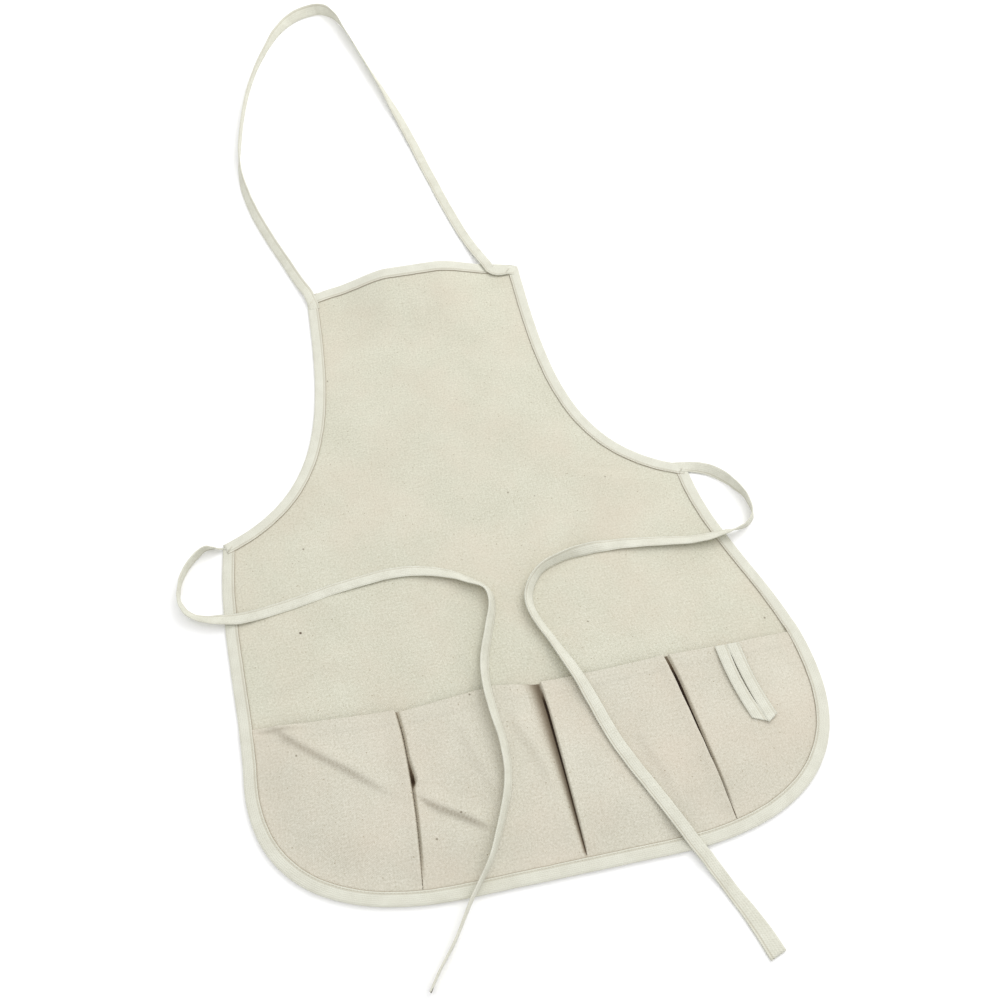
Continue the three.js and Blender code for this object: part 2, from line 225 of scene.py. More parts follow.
def puff(x, y):
    """The low crown of each pocket, used only to clear the tapes that cross it."""
    apart = np.min([np.abs(x - divider_x(k, y)) for k in range(3)], axis=0)
    return CROWN * smooth((from_edge(x, y) - TAPE - 5) / 20) * smooth((apart - 3.5) / 15)


def surface(px, y):
    """The highest surface of the sewn apron under points of the floor."""
    x = px - lay_x(y)
    flat = y
    for _ in range(3):
        flat = y - TOP_BOW * top_bow(x, np.minimum(TOP_Y, flat))
    y = flat
    d = from_edge(x, y)
    base = np.where(d < TAPE + 1, np.where(y < MOUTH_Y + 16, THICK, THIN), CLOTH_Z + CLOTH_T)
    hem = np.where((y > MOUTH_Y - 11) & (d > TAPE + 3), TAPE_T, 0)
    strip = np.where(y <= MOUTH_Y + 1, POCKET_Z + CLOTH_T + hem + puff(x, y), 0)
    return np.where(d < -1, 0, np.maximum(base, strip) + TOP_LIFT * top_arch(x, y))


# Neck strap and waist ties. Each is one length of 10 mm cotton tape, folded in half along its length and
# edge stitched, so it is stiff enough to stand on edge in its bends and lies flat on its straight runs.
STRAP_W, STRAP_T = 10.4, 1.2


def catmull(points, n):
    """n points a span on a centripetal Catmull-Rom curve."""
    p = np.array(points, float)
    p = np.vstack([2 * p[0] - p[1], p, 2 * p[-1] - p[-2]])
    out = []
    for i in range(1, len(p) - 2):
        a, b, c, d = p[i - 1 : i + 3]
        s, t, u = (max(1e-6, np.linalg.norm(q - r) ** 0.5) for q, r in ((b, a), (c, b), (d, c)))
        m0 = ((b - a) / s - (c - a) / (s + t) + (c - b) / t) * t
        m1 = ((c - b) / t - (d - b) / (t + u) + (d - c) / u) * t
        for w in np.arange(n) / n:
            out.append(b + m0 * w + (-3 * b + 3 * c - 2 * m0 - m1) * w * w + (2 * b - 2 * c + m0 + m1) * w**3)
    return np.array(out + [p[-2]])


def ribbon_rows(route, per=5):
    """Where each cross-section of a tape lies: its middle and its roll, lifted to clear what it crosses."""
    route = np.array(route, float)
    mid = catmull(route[:, :3], per)
    n = len(mid) - 1
    f = np.arange(n + 1) / per
    k = np.minimum(len(route) - 2, f.astype(int))
    roll = np.radians(route[k, 3] + (route[k + 1, 3] - route[k, 3]) * smooth(f - k))
    reach = np.maximum(2, STRAP_W / 2 * np.abs(np.cos(roll))) + 1.5
    ground = surface(mid[:, 0], mid[:, 1])
    for a in np.arange(12) * math.pi / 6:
        ground = np.maximum(ground, surface(mid[:, 0] + reach * np.cos(a), mid[:, 1] + reach * np.sin(a)))
    high = np.array([ground[max(0, i - 2) : i + 3].max() for i in range(n + 1)])
    calm = np.array([high[max(0, i - 2) : i + 3].mean() for i in range(n + 1)])
    mid[:, 2] += calm + STRAP_W / 2 * np.abs(np.sin(roll)) + STRAP_T / 2 * np.abs(np.cos(roll))
    return mid, roll


def mesh_piece(name, points, faces, cloth, material, fold=None):
    """A piece from points in millimetres, with the place of each point on the flat cloth for its weave, and
    how much painted shade it takes where it lies deep in a fold or in an open cut end, from 0 to 1."""
    mesh = bpy.data.meshes.new(name)
    mesh.from_pydata((np.asarray(points) * 0.001).tolist(), [], faces)
    mesh.attributes.new("cloth", "FLOAT_VECTOR", "POINT").data.foreach_set("vector",
        np.asarray(cloth, float).ravel())
    if fold is not None:
        mesh.attributes.new("fold", "FLOAT", "POINT").data.foreach_set("value",
            np.asarray(fold, float).ravel())
    mesh.shade_smooth()
    mesh.materials.append(material)
    mesh.update()
    piece = bpy.data.objects.new(name, mesh)
    bpy.context.collection.objects.link(piece)
    return piece


def swept(rings):
    """Faces for rings of points swept one after another, with both ends closed."""
    n, m = rings.shape[:2]
    faces = [(i * m + k, i * m + (k + 1) % m, (i + 1) * m + (k + 1) % m,
        (i + 1) * m + k) for i in range(n - 1) for k in range(m)]
    return faces + [tuple(range(m))[::-1], tuple((n - 1) * m + k for k in range(m))]


# cotton twill tape: fine ribs run along it, a soft matt yarn a little whiter than the canvas
def cotton_tape(name, light, dark, rib, edge, groove):
    material, tree = new_material(name)
    cloth = add_node(tree, "ShaderNodeAttribute", attribute_name="cloth")
    parts = add_node(tree, "ShaderNodeSeparateXYZ", {"Vector": cloth.outputs["Vector"]})
    turn = add_node(tree, "ShaderNodeMath", {0: parts.outputs["X"], 1: 2 * math.pi / rib},
        operation="MULTIPLY")
    ribs = add_node(tree, "ShaderNodeMath", {0: turn.outputs[0]}, operation="SINE")
    # twill lines slant across the ribs every 1.5 mm, drawn a little coarse so that they show
    slant = add_node(tree, "ShaderNodeMath", {0: parts.outputs["X"], 1: 0.9, 2: parts.outputs["Y"]},
        operation="MULTIPLY_ADD")
    pick = add_node(tree, "ShaderNodeMath", {0: slant.outputs[0], 1: 2 * math.pi / 1.5}, operation="MULTIPLY")
    picks = add_node(tree, "ShaderNodeMath", {0: pick.outputs[0]}, operation="SINE")
    both = add_node(tree, "ShaderNodeMath", {0: picks.outputs[0], 1: 1.0, 2: ribs.outputs[0]},
        operation="MULTIPLY_ADD")
    yarn = add_node(tree, "ShaderNodeTexNoise", {"Vector": cloth.outputs["Vector"], "Scale": 1.1,
        "Detail": 4.0, "Roughness": 0.65})
    wide = add_node(tree, "ShaderNodeTexNoise", {"Vector": cloth.outputs["Vector"], "Scale": 0.07,
        "Detail": 2.0})
    tone = add_node(tree, "ShaderNodeMath", {0: both.outputs[0], 1: 0.05, 2: yarn.outputs["Fac"]},
        operation="MULTIPLY_ADD")
    drift = add_node(tree, "ShaderNodeMath", {0: wide.outputs["Fac"], 1: 0.5, 2: tone.outputs[0]},
        operation="MULTIPLY_ADD")
    span = add_node(tree, "ShaderNodeMapRange", {"Value": drift.outputs[0], "From Min": 0.45,
        "From Max": 1.05})
    colour = add_node(tree, "ShaderNodeMix", {"Factor": span.outputs[0], "A": linear(dark),
        "B": linear(light)}, data_type="RGBA")
    # painted shade: a dark brown line along the tape's sewn edge, for the shade in the crease where it stands
    # off the canvas
    edge_shade = add_node(tree, "ShaderNodeMapRange", {"Value": parts.outputs["X"], "From Min": edge,
        "From Max": edge + 0.35, "To Max": 0.62})
    low_leg = add_node(tree, "ShaderNodeMath", {0: parts.outputs["X"], 1: 20.0}, operation="LESS_THAN")
    crease = add_node(tree, "ShaderNodeMath", {0: edge_shade.outputs[0], 1: low_leg.outputs[0]},
        operation="MULTIPLY")
    colour = add_node(tree, "ShaderNodeMix", {"Factor": crease.outputs[0], "A": colour.outputs["Result"],
        "B": linear("#86704f")}, data_type="RGBA")
    # painted shade: the row of stitches lies in a shallow groove, and a darker line is painted along it for
    # the groove's shade
    aside = add_node(tree, "ShaderNodeMath", {0: parts.outputs["X"], 1: groove}, operation="SUBTRACT")
    wide_of = add_node(tree, "ShaderNodeMath", {0: aside.outputs[0]}, operation="ABSOLUTE")
    line = add_node(tree, "ShaderNodeMapRange", {"Value": wide_of.outputs[0], "From Min": 0.65,
        "From Max": 0.2, "To Max": 0.35})
    colour = add_node(tree, "ShaderNodeMix", {"Factor": line.outputs[0], "A": colour.outputs["Result"],
        "B": linear("#a3977c")}, data_type="RGBA")
    # painted shade: a cut end is open, and the shade between its layers is painted dark brown
    fold = add_node(tree, "ShaderNodeAttribute", attribute_name="fold")
    colour = add_node(tree, "ShaderNodeMix", {"Factor": fold.outputs["Fac"], "A": colour.outputs["Result"],
        "B": linear("#4b4336")}, data_type="RGBA")
    bump = add_node(tree, "ShaderNodeBump", {"Height": both.outputs[0], "Distance": 0.00009, "Strength": 0.7})
    rough = add_node(tree, "ShaderNodeMapRange", {"Value": yarn.outputs["Fac"], "To Min": 0.82,
        "To Max": 0.98})
    shader = add_node(tree, "ShaderNodeBsdfPrincipled", {
        "Base Color": colour.outputs["Result"], "Roughness": rough.outputs[0], "Normal": bump.outputs[0],
        "Sheen Weight": 0.12, "Sheen Roughness": 0.5, "Specular IOR Level": 0.3})
    add_node(tree, "ShaderNodeOutputMaterial", {"Surface": shader.outputs[0]})
    return material


tape_cloth = cotton_tape("cotton_twill_tape", "#e3e3d6", "#cbc9ba", 1.4, 10.35, 8.9)
strap_cloth = cotton_tape("folded_cotton_tape", "#e4e4d7", "#c9c7b7", 1.7, 15.0, 3.5)

# the folded tape in section: a round fold on one side, the two raw layers and the stitch groove on the other
STRAP_SECTION = [(-5.0, -0.60), (-2.7, -0.58), (0, -0.60), (2.6, -0.58), (3.5, -0.30), (4.5, -0.58),
    (5.2, -0.45), (5.15, -0.08), (4.3, 0.0),
                 (5.2, 0.08), (5.2, 0.45), (4.5, 0.58), (3.5, 0.30), (2.6, 0.58), (0, 0.60), (-2.7, 0.58),
                 (-5.0, 0.60), (-5.2, 0.35), (-5.2, -0.35)]


def ribbon_frames(mid, roll):
    """The directions across a tape and out of its face at each row."""
    step = np.gradient(mid, axis=0)
    step /= np.linalg.norm(step, axis=1)[:, None]
    side = np.cross(step, (0, 0, 1))
    side /= np.linalg.norm(side, axis=1)[:, None]
    up = np.cross(side, step)
    c, s = np.cos(roll)[:, None], np.sin(roll)[:, None]
    return side * c + up * s, up * c - side * s


def tape_piece(name, mid, roll, flare=0.0, open_end_shade=0.0, gathered=0.0, opened=0.0):
    """Folded tape along its rows, with a length coordinate for its weave. A gathered end is pinched
    narrow in its seam, and tape that has opened is wider round the middle of its run."""
    fine = np.linspace(0, len(mid) - 1, (len(mid) - 1) * 3 + 1)
    whole = np.arange(len(mid))
    mid = np.stack([np.interp(fine, whole, mid[:, k]) for k in range(3)], 1)
    for _ in range(3):  # ease the corners between the rows
        mid[1:-1] = 0.25 * mid[:-2] + 0.5 * mid[1:-1] + 0.25 * mid[2:]
    roll = np.interp(fine, whole, roll)
    across, out = ribbon_frames(mid, roll)
    along = np.r_[0, np.cumsum(np.linalg.norm(np.diff(mid, axis=0), axis=1))]
    section = np.array(STRAP_SECTION)
    # tape is never ruler straight: its edges wander by a third of a millimetre
    wander = 0.22 * np.sin(along / 9.0) + 0.14 * np.sin(along / 3.7 + 1.0)
    wide = 1 + flare * smooth((along - along[-1] + 60) / 60)
    if opened:
        wide += opened * np.exp(-(((along / along[-1] - 0.53) / 0.065) ** 4))
    if gathered:
        wide *= 0.12 + 0.88 * smooth((along - gathered) / 14)
    mid[:, 2] += STRAP_W / 2 * np.abs(np.sin(roll)) * np.maximum(0, wide - 1)
    rings = mid[:, None] + across[:, None] * (section[None, :, :1] * wide[:, None, None] + wander[:, None,
        None] * 0.5) + out[:, None] * section[None, :, 1:]
    cloth = np.stack([np.broadcast_to(section[:, 0], rings.shape[:2]),
        np.broadcast_to(along[:, None], rings.shape[:2]), np.broadcast_to(section[:, 1], rings.shape[:2])],
        -1)
    # painted shade: the last few millimetres of an open cut end are darkened, for the shade between its
    # layers
    dark = open_end_shade * smooth((along - along[-1] + 4.5) / 2.5)[:, None] * (np.abs(section[:, 0]) < 4.8)
    piece = mesh_piece(
        name, rings.reshape(-1, 3), swept(rings), cloth.reshape(-1, 3), strap_cloth, dark)
    return piece, mid, along[-1]


def offset_route(x, y, route):
    return [(x + a, y + b, c, d) for a, b, c, d in route]


OVER = 0.5
left_x, right_x = AXIS_X - WAIST, AXIS_X + WAIST
left_bend = (left_x - 38, WAIST_Y - 36)
right_bend = (right_x + 44, WAIST_Y - 56)
left_root = offset_route(left_x, WAIST_Y, [(-2, -4.0, 0.4, -55), (-8, -2.6, 0.4, -72), (-15, -2.4, 0.4, -84),
    (-23, -8, 0.4, -92), (-31, -17, 0.4, -92), (-37.5, -29, 0.4, -88), (-39, -35.6, 0.4, -86)])
left_run = offset_route(left_x, WAIST_Y, [(-39, -36.4, 0.4, -86), (-40, -46, 0.4, -90),
    (-37, -56, 0.4, -108), (-31, -64, 0.4, -124), (-20, -70, 0.5, -140), (-6, -73.5, 0.5, -160),
    (12, -75, OVER, -178), (42, -72, OVER, -180), (100, -62, OVER, -177), (151, -58, OVER, -175),
    (186, -66, OVER, -160), (206, -77, OVER, -140), (223, -90, OVER, -120),
    (225, -104, OVER, -120), (217, -129, OVER, -126), (209, -153, OVER, -130), (206, -175, OVER, -128),
    (207, -198, OVER, -129), (210, -226, OVER, -126),
    (208, -257, OVER, -122), (195, -290, OVER, -114), (183, -313, OVER, -104), (164, -337, OVER, -97),
    (147, -362, 0.3, -92), (132, -380, 0.3, -90), (123.5, -392, 0.3, -90)])
right_root = offset_route(right_x, WAIST_Y, [(4.7, -3.4, 0.4, -10), (12.3, -6.8, 0.4, -22),
    (20.5, -11.6, 0.4, -34), (29, -20, 0.4, -50), (36, -29.5, 0.4, -72), (43, -43, 0.4, -92),
    (44.8, -55.6, 0.4, -97)])
right_run = offset_route(right_x, WAIST_Y, [(44.8, -56.4, 0.4, -97), (43.5, -65.5, 0.4, -106),
    (37, -72.5, 0.4, -97), (28, -76, 0.4, -80), (13, -78, 0.5, -48), (-5, -79, 0.5, -30),
    (-23, -78, OVER, -24), (-53, -73, OVER, -15), (-87, -69, OVER, -5), (-112, -69, OVER, 30),
    (-136, -73, OVER, 60), (-157, -81, OVER, 62),
    (-168, -93, OVER, 52), (-173, -105, OVER, 46), (-172, -121, OVER, 42), (-161, -149, OVER, 38),
    (-150, -179, OVER, 22), (-141, -208, OVER, 5),
    (-130, -245, OVER, 0), (-113, -283, OVER, 0), (-97, -318, OVER, 0), (-88, -337, OVER, 0),
    (-78, -359, 0.6, 0), (-64, -390, 0.3, 0), (-54, -418, 0.3, 0)])
# each tie is the armhole's own binding tape run on past the waist corner: its last 19 mm over the cloth
LEAD_IN = {"left": [(20.7, 1.9, 0), (15.5, 0.1, 0), (9.5, -2, 0), (3.5, -4, -20)],
    "right": [(20.7, 1.9, 0), (15.0, 0.0, 0), (8.5, -1.2, 0), (1.5, -2.0, 0)]}

# the left tie is pinched in its seam and comes out on top of the bindings, and the right one runs on level
# with them; the left tie's cut end is open, with painted shade between its layers, and the right one's has
# spread
for side, corner_x, inwards, root, run, bend, sunk, root_z, flare, open_end_shade, gathered in (
        ("left", left_x, 1, left_root, left_run, left_bend, 0.7, THIN + 0.6, 0.0, 0.85, 19.0),
        ("right", right_x, -1, right_root, right_run, right_bend, 0, THIN - 0.4, 0.35, 0.0, 0.0)):
    mid_a, roll_a = ribbon_rows(root)
    mid_b, roll_b = ribbon_rows(run)
    lead = np.array(LEAD_IN[side])
    lead_mid = np.c_[corner_x + inwards * lead[:, 0], WAIST_Y + lead[:, 1],
                     np.linspace(THIN - 0.9, THIN - 0.45, 4) - sunk]
    rise = smooth(np.linspace(0, 1, 12))
    mid_a[:12, 2] = root_z * (1 - rise) + mid_a[:12, 2] * rise
    mid = np.vstack([lead_mid, mid_a[:-1], (mid_a[-1:] + mid_b[:1]) / 2, mid_b[1:]])
    roll = np.r_[np.radians(lead[:, 2]), roll_a, roll_b[1:]]
    tie, line, length = tape_piece(f"{side}_tie_tape", mid, roll, flare, open_end_shade, gathered)
    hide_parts(f"{side}_tie_root", f"{side}_tie")
    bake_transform(tie)
    print(side, "tie length", round(length))

bib_lx, bib_rx = AXIS_X - BIB, AXIS_X + BIB
strap_left_end = offset_route(bib_lx, TOP_Y, [(6.8, -16, 0.1, 0), (6.2, -10, 0.2, 0), (4.6, -4, 0.3, 0)])
strap_right_end = offset_route(bib_rx, TOP_Y, [(-30, 1.6, 0.4, 0), (-26.5, -2.0, 0.3, 0),
    (-20.5, -4.2, 0.3, 0), (-12, -4.2, 0.2, 0), (-3.5, -5.6, 0.1, 0)])
strap_run = offset_route(bib_lx, TOP_Y, [(2.5, 5.4, 0.3, 0), (-5, 23, 0.8, 18), (-21, 66, 0.6, 28),
    (-38, 115, 0.4, 28), (-50, 162, 0.3, 44), (-54, 200, 0.3, 66),
    (-52, 237, 0.3, 90), (-39, 318, 0.3, 88), (-24, 370, 0.3, 84), (-9, 406, 0.3, 88), (7, 437, 0.3, 108),
    (27, 461, 0.3, 126), (50, 472, 0.3, 126), (69, 471, 0.3, 108)]) + \
    offset_route(bib_rx, TOP_Y, [(-141, 454, 0.3, 84), (-130, 420, 0.3, 68), (-113, 352, 0.3, 64),
        (-102, 310, 0.3, 50), (-85, 237, 0.3, 10), (-69, 153, 0.4, 0), (-53, 76, 0.6, 0), (-39, 26, 0.8, 0),
        (-32, 7.4, 0.5, 0)])
mid, roll = ribbon_rows(strap_run)
head, foot = ribbon_rows(strap_left_end)[0], ribbon_rows(strap_right_end)[0]
head[:6, 2] = np.linspace(THIN - 0.5, head[6, 2], 7)[:6]  # the tape's end is turned into the side seam
foot[-5:, 2] = np.linspace(foot[-6, 2], THIN - 0.45, 6)[1:]
mid, roll = np.vstack([head[:-1], mid, foot]), np.r_[np.zeros(len(head) - 1), roll, np.zeros(len(foot))]
strap, line, length = tape_piece("neck_strap_tape", mid, roll, opened=0.28)
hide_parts("neck_strap_left_end", "neck_strap", "neck_strap_right_end")
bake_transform(strap)
print("strap length", round(length))


# Body panel: one layer of natural cotton canvas, plain woven from unbleached yarn about 0.8 mm apart,
# with dark specks of seed husk left in it. It lies almost flat, with a few soft ripples from folding.
def natural_canvas(name, light, dark, speck):
    material, tree = new_material(name)
    cloth = add_node(tree, "ShaderNodeAttribute", attribute_name="cloth")
    parts = add_node(tree, "ShaderNodeSeparateXYZ", {"Vector": cloth.outputs["Vector"]})
    pitch = 1.5  # a pair of yarns; drawn a little coarse so that it shows
    wave = []
    for axis in ("X", "Y"):
        turn = add_node(tree, "ShaderNodeMath", {0: parts.outputs[axis], 1: math.pi * 2 / pitch},
            operation="MULTIPLY")
        wave.append(add_node(tree, "ShaderNodeMath", {0: turn.outputs[0]}, operation="SINE"))
    # over and under: the product of the two waves is a basket of raised crossings
    cross = add_node(tree, "ShaderNodeMath", {0: wave[0].outputs[0], 1: wave[1].outputs[0]},
        operation="MULTIPLY")
    slub_x = add_node(tree, "ShaderNodeMapping", {"Vector": cloth.outputs["Vector"],
        "Scale": (0.05, 1.3, 1.0)})
    slub_y = add_node(tree, "ShaderNodeMapping", {"Vector": cloth.outputs["Vector"],
        "Scale": (1.3, 0.05, 1.0)})
    weft = add_node(tree, "ShaderNodeTexNoise", {"Vector": slub_x.outputs[0], "Scale": 1.0, "Detail": 2.0})
    warp = add_node(tree, "ShaderNodeTexNoise", {"Vector": slub_y.outputs[0], "Scale": 1.0, "Detail": 2.0})
    yarns = add_node(tree, "ShaderNodeMath", {0: weft.outputs["Fac"], 1: warp.outputs["Fac"]},
        operation="ADD")
    thread_tone = add_node(tree, "ShaderNodeMath", {0: yarns.outputs[0], 1: 0.4}, operation="MULTIPLY")
    grain = add_node(tree, "ShaderNodeTexNoise", {"Vector": cloth.outputs["Vector"], "Scale": 0.6,
        "Detail": 5.0, "Roughness": 0.8})
    wide = add_node(tree, "ShaderNodeTexNoise", {"Vector": cloth.outputs["Vector"], "Scale": 0.018,
        "Detail": 3.0})
    tone = add_node(tree, "ShaderNodeMath", {0: cross.outputs[0], 1: 0.06, 2: thread_tone.outputs[0]},
        operation="MULTIPLY_ADD")
    tone = add_node(tree, "ShaderNodeMath", {0: grain.outputs["Fac"], 1: 3.0, 2: tone.outputs[0]},
        operation="MULTIPLY_ADD")
    tone = add_node(tree, "ShaderNodeMath", {0: wide.outputs["Fac"], 1: 0.5, 2: tone.outputs[0]},
        operation="MULTIPLY_ADD")
    span = add_node(tree, "ShaderNodeMapRange", {"Value": tone.outputs[0], "From Min": 1.5, "From Max": 2.8})
    colour = add_node(tree, "ShaderNodeMix", {"Factor": span.outputs[0], "A": linear(dark),
        "B": linear(light)}, data_type="RGBA")
    # raw cotton is a little pinker in some runs of yarn than in others
    blotch = add_node(tree, "ShaderNodeTexNoise", {"Vector": cloth.outputs["Vector"], "Scale": 0.011,
        "Detail": 4.0, "Roughness": 0.6})
    warm = add_node(tree, "ShaderNodeMapRange", {"Value": blotch.outputs["Fac"], "From Min": 0.42,
        "From Max": 0.68, "To Max": 0.3})
    colour = add_node(tree, "ShaderNodeMix", {"Factor": warm.outputs[0], "A": colour.outputs["Result"],
        "B": linear("#d6c6b4")}, data_type="RGBA")
    # seed husk: one speck in some of the cells of a few millimetres, in tan, brown and dark brown
    for cell, size, chance, hue in ((2.6, 0.34, 0.72, "#b3a78e"), (5.0, 0.42, 0.68, speck),
            (24.0, 0.8, 0.72, "#6f6350")):
        spots = add_node(tree, "ShaderNodeTexVoronoi", {"Vector": cloth.outputs["Vector"], "Scale": 1 / cell,
            "Randomness": 1.0})
        some = add_node(tree, "ShaderNodeSeparateColor", {"Color": spots.outputs["Color"]})
        chosen = add_node(tree, "ShaderNodeMath", {0: some.outputs["Red"], 1: chance},
            operation="GREATER_THAN")
        reach = add_node(tree, "ShaderNodeMapRange", {"Value": spots.outputs["Distance"],
            "From Min": size * 1.5 / cell, "From Max": size * 0.6 / cell, "To Max": 0.75})
        mask = add_node(tree, "ShaderNodeMath", {0: reach.outputs[0], 1: chosen.outputs[0]},
            operation="MULTIPLY")
        colour = add_node(tree, "ShaderNodeMix", {"Factor": mask.outputs[0], "A": colour.outputs["Result"],
            "B": linear(hue)}, data_type="RGBA")
    # one larger husk was spun into the cloth near the left waist
    where = add_node(tree, "ShaderNodeVectorMath", {0: cloth.outputs["Vector"], 1: (-165, -74, 0)},
        operation="DISTANCE")
    husk = add_node(tree, "ShaderNodeMapRange", {"Value": where.outputs["Value"], "From Min": 1.5,
        "From Max": 0.7, "To Max": 0.9})
    colour = add_node(tree, "ShaderNodeMix", {"Factor": husk.outputs[0], "A": colour.outputs["Result"],
        "B": linear("#4a3524")}, data_type="RGBA")
    # painted shade: cloth deep in a pleat or at the foot of a crease is darkened toward brown, and then near
    # black, for the shade it lies in
    fold = add_node(tree, "ShaderNodeAttribute", attribute_name="fold")
    colour = add_node(tree, "ShaderNodeMix", {"Factor": fold.outputs["Fac"], "A": colour.outputs["Result"],
        "B": linear("#77603f")}, data_type="RGBA")
    depth = add_node(tree, "ShaderNodeMath", {0: fold.outputs["Fac"], 1: 2.2}, operation="POWER")
    colour = add_node(tree, "ShaderNodeMix", {"Factor": depth.outputs[0], "A": colour.outputs["Result"],
        "B": linear("#24150a")}, data_type="RGBA")
    relief = add_node(tree, "ShaderNodeMath", {0: grain.outputs["Fac"], 1: 1.6, 2: cross.outputs[0]},
        operation="MULTIPLY_ADD")
    bump = add_node(tree, "ShaderNodeBump", {"Height": relief.outputs[0], "Distance": 0.00012,
        "Strength": 0.6})
    rough = add_node(tree, "ShaderNodeMapRange", {"Value": grain.outputs["Fac"], "To Min": 0.85,
        "To Max": 1.0})
    shader = add_node(tree, "ShaderNodeBsdfPrincipled", {
        "Base Color": colour.outputs["Result"], "Roughness": rough.outputs[0], "Normal": bump.outputs[0],
        "Sheen Weight": 0.1, "Sheen Roughness": 0.5, "Specular IOR Level": 0.25})
    add_node(tree, "ShaderNodeOutputMaterial", {"Surface": shader.outputs[0]})
    return material


canvas = natural_canvas("natural_cotton_canvas", "#e1e0d0", "#b6b39f", "#8f8268")


def crease(x, y, start, end, height, wide, steep, bow=0.0):
    """A creased fold from start to end: a slow rise on one side of the line and a steep drop on the
    other, and how much of the light its foot loses."""
    run = np.subtract(end, start)
    length = np.hypot(*run)
    t = ((x - start[0]) * run[0] + (y - start[1]) * run[1]) / length**2
    off = ((x - start[0]) * run[1] - (y - start[1]) * run[0]) / length - bow * np.sin(math.pi * np.clip(t, 0,
        1)) - 0.011 * length * np.sin(8 * t)
    rise = np.where(off < 0, np.exp(-((off / wide) ** 2)),
        1.25 * np.exp(-((off / steep) ** 2)) - 0.25 * np.exp(-(((off - steep) / (2.4 * steep)) ** 2)))
    ends = smooth((t + 0.06) / 0.3) * smooth((1.06 - t) / 0.4)
    return height * rise * ends, ends * np.exp(-(((off - 0.75 * steep) / (0.56 * steep)) ** 2))


def ripples(x, y):
    """Soft ripples and creases of the body panel, a millimetre or so high, dying out at the bindings."""
    free = smooth((from_edge(x, y) - TAPE - 3) / 26)
    low = np.sin(x / 47 + y / 90) * np.sin(y / 61 - x / 140) * 0.5 + np.sin(x / 21 - y / 33 + 1) * 0.2
    folds = sum(crease(x, y, *fold)[0] for fold in (
        ((-225, -124), (-120, -98), 1.3, 14, 7), ((-41, -112), (-24, -170), 1.2, 10, 8),
        ((190, 16), (110, 34), 1.1, 12, 5),
        ((-96, 190), (-30, 215), 0.8, 16, 12), ((60, 130), (-40, 95), 0.7, 18, 12),
        ((-190, -20), (-110, -60), 0.7, 16, 10)))
    return free * (0.45 + low + folds)


def cloth_sheet(name, xs, ys, height, thickness, material, fold=None):
    """A thin closed sheet: its upper surface, the same surface below it, and a wall round the edge."""
    ny, nx = xs.shape
    top = place(xs, ys, height + thickness)
    low = place(xs, ys, height)
    points = np.vstack([top.reshape(-1, 3), low.reshape(-1, 3)])
    cloth = np.stack([xs, ys, np.zeros_like(xs)], -1).reshape(-1, 3)
    m = nx * ny
    faces = []
    for j in range(ny - 1):
        for i in range(nx - 1):
            a, b, c, d = j * nx + i, j * nx + i + 1, (j + 1) * nx + i + 1, (j + 1) * nx + i
            faces += [(a, b, c, d), (m + a, m + d, m + c, m + b)]
    rim = list(range(nx)) + [j * nx + nx - 1 for j in range(1, ny)]
    rim += [(ny - 1) * nx + i for i in range(nx - 2, -1, -1)] + [j * nx for j in range(ny - 2, 0, -1)]
    for a, b in zip(rim, rim[1:] + rim[:1]):
        faces.append((m + a, m + b, b, a))
    return mesh_piece(name, points, faces, np.vstack([cloth, cloth]), material,
        None if fold is None else np.r_[fold.ravel(), fold.ravel()])


rows = np.linspace(HEM_Y + EDGE, TOP_Y - EDGE, 190)
share = np.linspace(-1, 1, 130)
ys, xs = np.repeat(rows[:, None], 130, 1), half_width(rows, EDGE)[:, None] * share[None]
body = cloth_sheet("body_panel_cloth", xs, ys, CLOTH_Z + ripples(xs, ys), CLOTH_T, canvas)
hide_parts("body_panel")
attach(body, "apron")
area = float(2 * np.trapz(half_width(rows, EDGE), rows)) * 1e-6


# Pocket strip: the same canvas over the bottom quarter, caught in the binding at both sides and the hem.
# Its mouth is turned under and stitched, and three inverted pleats, sewn down, leave it slack enough to
# make four pockets.
def pleat_x(k, y):
    """Where each pleat has slipped to: all bow to the right, and the first leans left at its foot."""
    down = (MOUTH_Y - y) / (MOUTH_Y - HEM_Y)
    bow, lean = ((3.4, -3.0), (1.6, -2.4), (1.4, -2.2))[k]
    leaning = lean * down if k == 0 else lean * (1 - down) * down * 2
    return divider_x(k, y) + bow * np.sin(math.pi * np.clip(down, 0, 1)) + leaning


